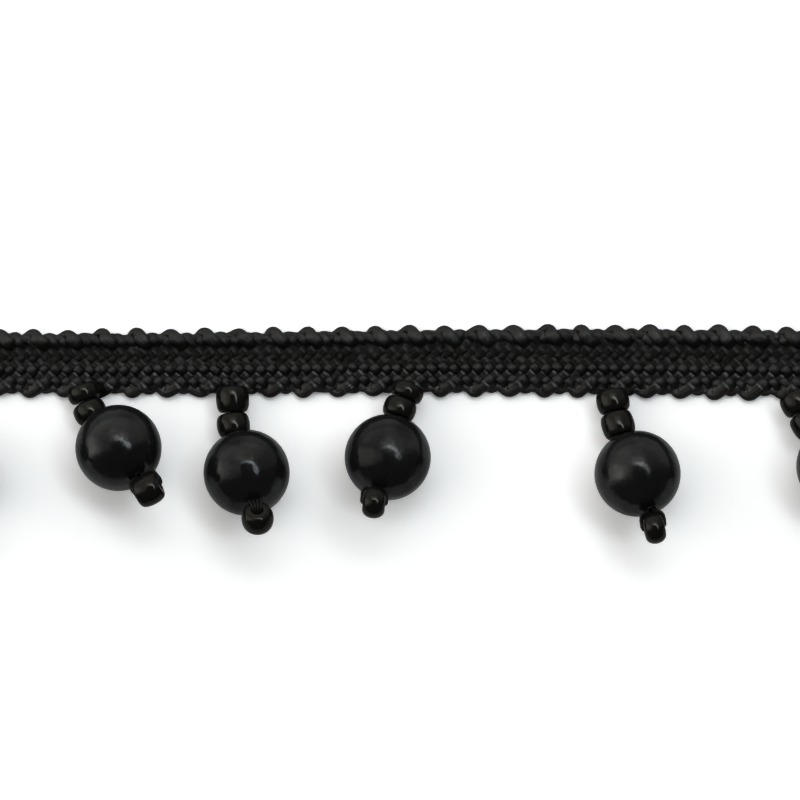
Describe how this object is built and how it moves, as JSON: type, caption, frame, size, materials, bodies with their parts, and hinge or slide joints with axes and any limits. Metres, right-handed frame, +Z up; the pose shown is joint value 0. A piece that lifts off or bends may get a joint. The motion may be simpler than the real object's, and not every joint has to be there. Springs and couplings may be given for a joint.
{
  "type": "beaded gimp trim",
  "caption": "Cut length of flat braided gimp trim with scalloped edges and a row of sewn bead drops, each two seed beads, a glossy pearl ball and a stop bead.",
  "frame": {"origin": "middle of the braid's flat underside, on the surface that the trim lies on", "axes": "+X along the braid, -Y the way the bead drops lie, +Z up from the surface"},
  "size_m": [0.1022, 0.0203, 0.0095],
  "materials": {
    "rayon_braid": "lightly twisted black rayon filament yarn with a soft sheen",
    "seed_glass": "opaque glossy black glass",
    "pearl": "glossy black pearl bead",
    "sewing_thread": "twisted black sewing thread"
  },
  "bodies": {
    "root": {"gimp_braid": "rayon_braid", "seed_upper_1": "seed_glass", "seed_upper_2": "seed_glass", "seed_upper_3": "seed_glass", "seed_upper_4": "seed_glass", "seed_upper_5": "seed_glass", "seed_upper_6": "seed_glass", "seed_lower_1": "seed_glass", "seed_lower_2": "seed_glass", "seed_lower_3": "seed_glass", "seed_lower_4": "seed_glass", "seed_lower_5": "seed_glass", "seed_lower_6": "seed_glass", "ball_1": "pearl", "ball_2": "pearl", "ball_3": "pearl", "ball_4": "pearl", "ball_5": "pearl", "ball_6": "pearl", "stop_bead_1": "seed_glass", "stop_bead_2": "seed_glass", "stop_bead_3": "seed_glass", "stop_bead_4": "seed_glass", "stop_bead_5": "seed_glass", "stop_bead_6": "seed_glass", "thread_1": "sewing_thread", "thread_2": "sewing_thread", "thread_3": "sewing_thread", "thread_4": "sewing_thread", "thread_5": "sewing_thread", "thread_6": "sewing_thread"}
  },
  "joints": []
}
